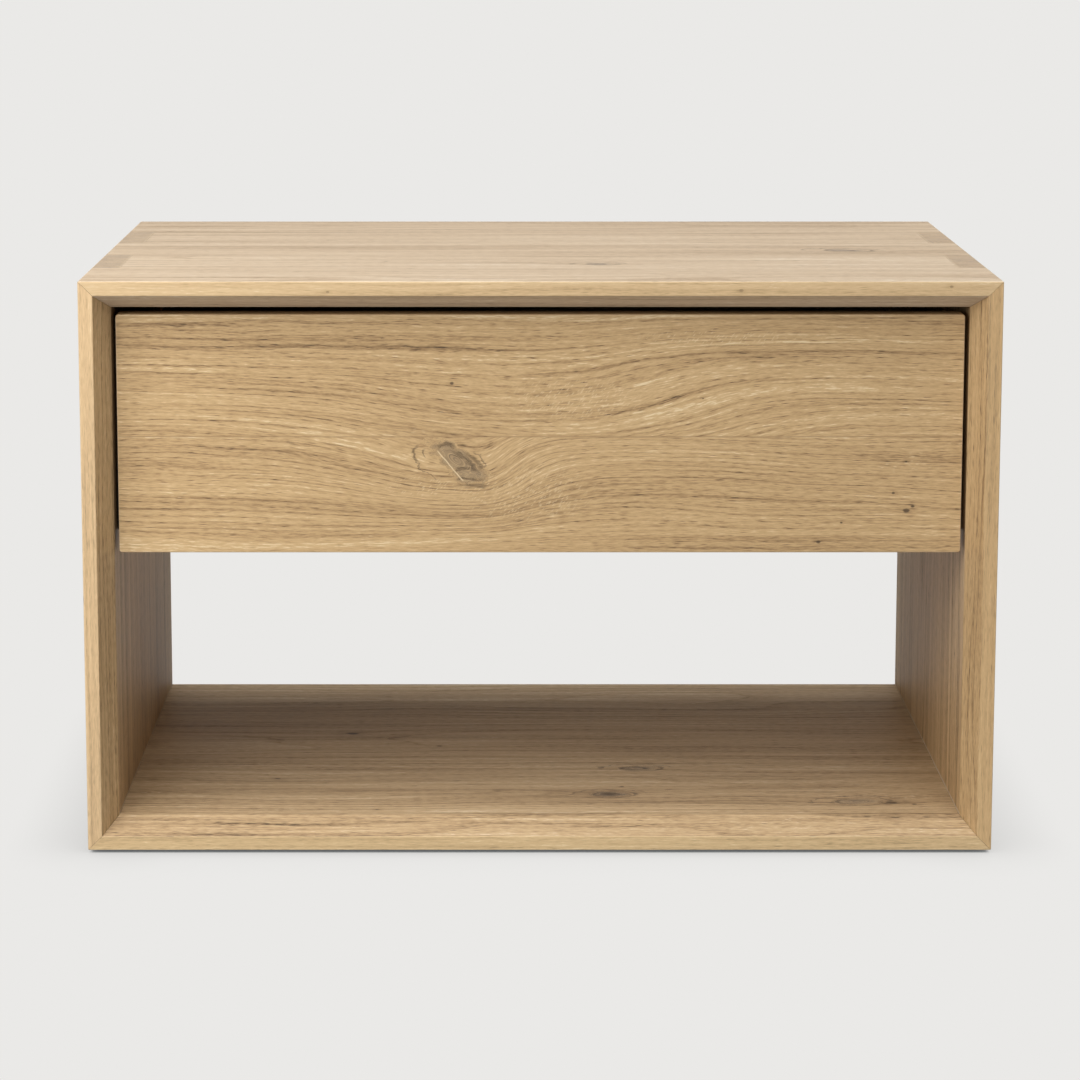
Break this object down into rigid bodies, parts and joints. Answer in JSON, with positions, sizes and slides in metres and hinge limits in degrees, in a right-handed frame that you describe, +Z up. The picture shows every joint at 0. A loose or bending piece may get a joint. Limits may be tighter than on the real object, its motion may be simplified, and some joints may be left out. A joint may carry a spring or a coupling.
{
  "type": "bedside table with drawer",
  "caption": "Low oak bedside table: a finger-jointed box frame with a mitred, bevelled front, an open bay and a handleless drawer on telescopic ball slides.",
  "frame": {"origin": "on the floor, under the middle of the carcass: the centre of the bottom of the bounding box", "axes": "+X to the right seen from the front, +Y to the back, +Z up; the drawer opens towards -Y"},
  "size_m": [0.6, 0.4, 0.382],
  "materials": {
    "oak": "matt oiled solid oak",
    "birch_plywood": "matt lacquered plywood",
    "beech_dowel": "unfinished fluted dowel",
    "black_steel": "satin black coated steel",
    "zinc_steel": "zinc plated",
    "black_rubber": "matt",
    "felt": "pressed wool felt"
  },
  "bodies": {
    "carcass": {"top_panel": "oak", "bottom_panel": "oak", "back_panel": "oak", "side_panel_left": "oak", "side_panel_right": "oak", "back_dowel_lower_left": "beech_dowel", "back_dowel_lower_right": "beech_dowel", "back_dowel_upper_left": "beech_dowel", "back_dowel_upper_right": "beech_dowel", "felt_pad_front_left": "felt", "felt_pad_front_right": "felt", "felt_pad_rear_left": "felt", "felt_pad_rear_right": "felt", "cabinet_rail_left": "black_steel", "cabinet_rail_right": "black_steel", "cabinet_rail_screw_1_left": "zinc_steel", "cabinet_rail_screw_1_right": "zinc_steel", "cabinet_rail_screw_2_left": "zinc_steel", "cabinet_rail_screw_2_right": "zinc_steel", "cabinet_rail_screw_3_left": "zinc_steel", "cabinet_rail_screw_3_right": "zinc_steel", "rear_stop_left": "black_rubber", "rear_stop_right": "black_rubber"},
    "drawer": {"drawer_front": "oak", "drawer_box_front": "oak", "drawer_box_back": "oak", "drawer_bottom": "birch_plywood", "drawer_box_side_left": "oak", "drawer_box_side_right": "oak", "drawer_rail_left": "black_steel", "drawer_rail_right": "black_steel", "drawer_rail_screw_1_left": "zinc_steel", "drawer_rail_screw_1_right": "zinc_steel", "drawer_rail_screw_2_left": "zinc_steel", "drawer_rail_screw_2_right": "zinc_steel", "drawer_rail_screw_3_left": "zinc_steel", "drawer_rail_screw_3_right": "zinc_steel", "front_screw_upper_left": "zinc_steel", "front_screw_upper_right": "zinc_steel", "front_screw_lower_left": "zinc_steel", "front_screw_lower_right": "zinc_steel"},
    "outer_ball_cage_left": {"outer_ball_cage_left": "zinc_steel"},
    "middle_rail_left": {"middle_rail_left": "black_steel"},
    "inner_ball_cage_left": {"inner_ball_cage_left": "zinc_steel"},
    "outer_ball_cage_right": {"outer_ball_cage_right": "zinc_steel"},
    "middle_rail_right": {"middle_rail_right": "black_steel"},
    "inner_ball_cage_right": {"inner_ball_cage_right": "zinc_steel"}
  },
  "joints": [
    {"name": "drawer_slide", "type": "slide", "parent": "carcass", "child": "drawer", "axis": [0, -1, 0], "range_m": [0, 0.3]},
    {"name": "outer_ball_cage_left_slide", "type": "slide", "parent": "carcass", "child": "outer_ball_cage_left", "axis": [0, -1, 0], "range_m": [0, 0.075]},
    {"name": "middle_rail_left_slide", "type": "slide", "parent": "carcass", "child": "middle_rail_left", "axis": [0, -1, 0], "range_m": [0, 0.15]},
    {"name": "inner_ball_cage_left_slide", "type": "slide", "parent": "carcass", "child": "inner_ball_cage_left", "axis": [0, -1, 0], "range_m": [0, 0.225]},
    {"name": "outer_ball_cage_right_slide", "type": "slide", "parent": "carcass", "child": "outer_ball_cage_right", "axis": [0, -1, 0], "range_m": [0, 0.075]},
    {"name": "middle_rail_right_slide", "type": "slide", "parent": "carcass", "child": "middle_rail_right", "axis": [0, -1, 0], "range_m": [0, 0.15]},
    {"name": "inner_ball_cage_right_slide", "type": "slide", "parent": "carcass", "child": "inner_ball_cage_right", "axis": [0, -1, 0], "range_m": [0, 0.225]}
  ],
  "couplings": [
    {"joint": "outer_ball_cage_left_slide", "follows": "drawer_slide", "ratio": 0.25},
    {"joint": "middle_rail_left_slide", "follows": "drawer_slide", "ratio": 0.5},
    {"joint": "inner_ball_cage_left_slide", "follows": "drawer_slide", "ratio": 0.75},
    {"joint": "outer_ball_cage_right_slide", "follows": "drawer_slide", "ratio": 0.25},
    {"joint": "middle_rail_right_slide", "follows": "drawer_slide", "ratio": 0.5},
    {"joint": "inner_ball_cage_right_slide", "follows": "drawer_slide", "ratio": 0.75}
  ]
}
